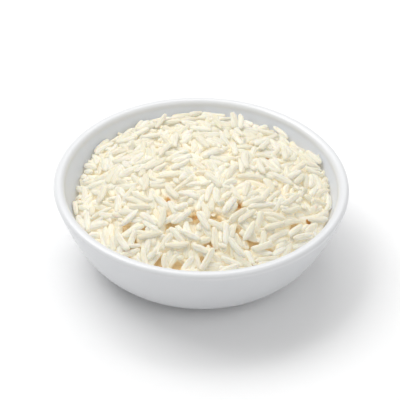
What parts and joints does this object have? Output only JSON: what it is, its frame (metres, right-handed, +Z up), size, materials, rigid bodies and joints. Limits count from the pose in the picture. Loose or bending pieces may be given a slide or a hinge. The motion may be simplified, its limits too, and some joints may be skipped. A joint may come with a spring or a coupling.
{
  "type": "bowl of cooked long-grain rice",
  "caption": "Small round white ceramic bowl with a rounded lip, heaped with cooked long-grain white rice in a low uneven dome.",
  "frame": {"origin": "middle of the foot, level with the table", "axes": "+Z up; -Y faces the side that the picture is taken from, +X is that view's right"},
  "size_m": [0.12, 0.12, 0.043],
  "materials": {
    "glaze": "smooth white glaze, softly glossy",
    "rice": "moist cooked rice, cream white, slightly translucent"
  },
  "bodies": {
    "root": {"bowl": "glaze", "rice": "rice"}
  },
  "joints": []
}
